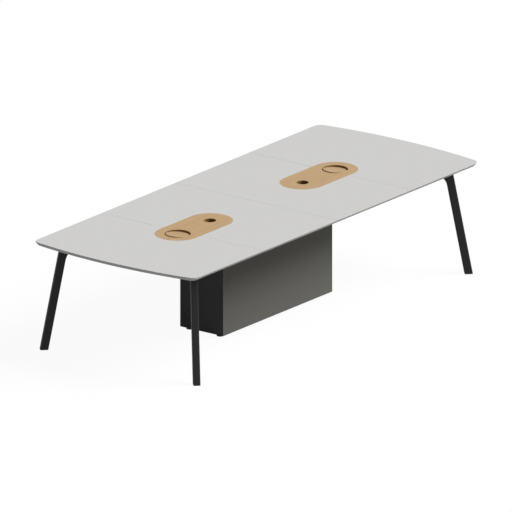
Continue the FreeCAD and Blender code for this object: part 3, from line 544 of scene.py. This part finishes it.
def seen_directly(tree):
    """One for a ray that shows the background: from the camera, a glossy surface or through glass."""
    path = tree.nodes.new("ShaderNodeLightPath")
    either = tree.nodes.new("ShaderNodeMath")
    either.operation = "MAXIMUM"
    tree.links.new(path.outputs["Is Camera Ray"], either.inputs[0])
    tree.links.new(path.outputs["Is Glossy Ray"], either.inputs[1])
    any_of = tree.nodes.new("ShaderNodeMath")
    any_of.operation = "MAXIMUM"
    tree.links.new(either.outputs[0], any_of.inputs[0])
    tree.links.new(path.outputs["Is Transmission Ray"], any_of.inputs[1])
    return any_of.outputs[0]


def make_floor():
    """A wide floor: white where it is seen, with a light shadow, and grey where it lights the table."""
    bpy.ops.mesh.primitive_plane_add(size=FLOOR_SIZE, location=(0.0, 0.0, -FLOOR_DROP))
    floor = bpy.context.object
    floor.name = "floor"
    material, tree, shader = new_material("floor")
    shader.inputs["Base Color"].default_value = (*FLOOR_COLOUR, 1.0)
    shader.inputs["Roughness"].default_value = 0.9
    white = tree.nodes.new("ShaderNodeEmission")
    white.inputs["Color"].default_value = (1.0, 1.0, 1.0, 1.0)
    white.inputs["Strength"].default_value = 1.0 - FLOOR_SHADOW
    shade = tree.nodes.new("ShaderNodeBsdfDiffuse")
    shade.inputs["Color"].default_value = (FLOOR_SHADOW, FLOOR_SHADOW, FLOOR_SHADOW, 1.0)
    seen = tree.nodes.new("ShaderNodeAddShader")
    tree.links.new(white.outputs["Emission"], seen.inputs[0])
    tree.links.new(shade.outputs["BSDF"], seen.inputs[1])
    mix = tree.nodes.new("ShaderNodeMixShader")
    tree.links.new(seen_directly(tree), mix.inputs[0])
    tree.links.new(shader.outputs["BSDF"], mix.inputs[1])
    tree.links.new(seen.outputs["Shader"], mix.inputs[2])
    tree.links.new(mix.outputs["Shader"], tree.nodes["Material Output"].inputs["Surface"])
    floor.data.materials.append(material)


def make_light():
    """A soft even sky and one wide key lamp from the picture's right."""
    world = bpy.data.worlds.new("studio")
    bpy.context.scene.world = world
    world.use_nodes = True
    tree = world.node_tree
    sky = tree.nodes["Background"]
    sky.inputs["Color"].default_value = (1.0, 1.0, 1.0, 1.0)
    sky.inputs["Strength"].default_value = SKY_STRENGTH
    white = tree.nodes.new("ShaderNodeBackground")
    white.inputs["Color"].default_value = (1.0, 1.0, 1.0, 1.0)
    white.inputs["Strength"].default_value = 1.0
    mix = tree.nodes.new("ShaderNodeMixShader")
    tree.links.new(seen_directly(tree), mix.inputs[0])
    tree.links.new(sky.outputs["Background"], mix.inputs[1])
    tree.links.new(white.outputs["Background"], mix.inputs[2])
    tree.links.new(mix.outputs["Shader"], tree.nodes["World Output"].inputs["Surface"])

    lamp = bpy.data.lights.new("key", "SUN")
    lamp.energy = KEY_STRENGTH
    lamp.angle = KEY_SPREAD
    key = bpy.data.objects.new("key", lamp)
    key.rotation_euler = KEY_DIRECTION.to_track_quat("Z", "Y").to_euler()
    bpy.context.scene.collection.objects.link(key)


def make_camera():
    """A parallel view at the photograph's angle."""
    azimuth = math.radians(AZIMUTH)
    elevation = math.radians(ELEVATION)
    back = Vector(
        (
            math.sin(azimuth) * math.cos(elevation),
            -math.cos(azimuth) * math.cos(elevation),
            math.sin(elevation),
        )
    )
    data = bpy.data.cameras.new("camera")
    data.type = "ORTHO"
    data.ortho_scale = VIEW_WIDTH
    data.clip_start = 0.1
    data.clip_end = 100.0
    camera = bpy.data.objects.new("camera", data)
    camera.location = AIM + back * CAMERA_DISTANCE
    camera.rotation_euler = back.to_track_quat("Z", "Y").to_euler()
    bpy.context.scene.collection.objects.link(camera)
    bpy.context.scene.camera = camera


def paint(frame, materials):
    """Gives every node the material of its slot."""
    for part in frame["record"]["subparts"]:
        mesh = frame["nodes"][part["node"]].data
        mesh.materials.clear()
        mesh.materials.append(materials[part["material_slot"]])


def main():
    for leftover in list(bpy.data.objects):
        bpy.data.objects.remove(leftover)
    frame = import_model()
    bpy.context.scene.view_settings.view_transform = "Standard"
    for plain in list(bpy.data.materials):
        bpy.data.materials.remove(plain)
    materials = make_materials()
    paint(frame, materials)
    make_fasteners(frame, materials)
    make_feet(frame, materials)
    ease_edges(frame, materials)
    paint_opening_shade(frame, materials)
    make_floor()
    make_light()
    make_camera()


main()
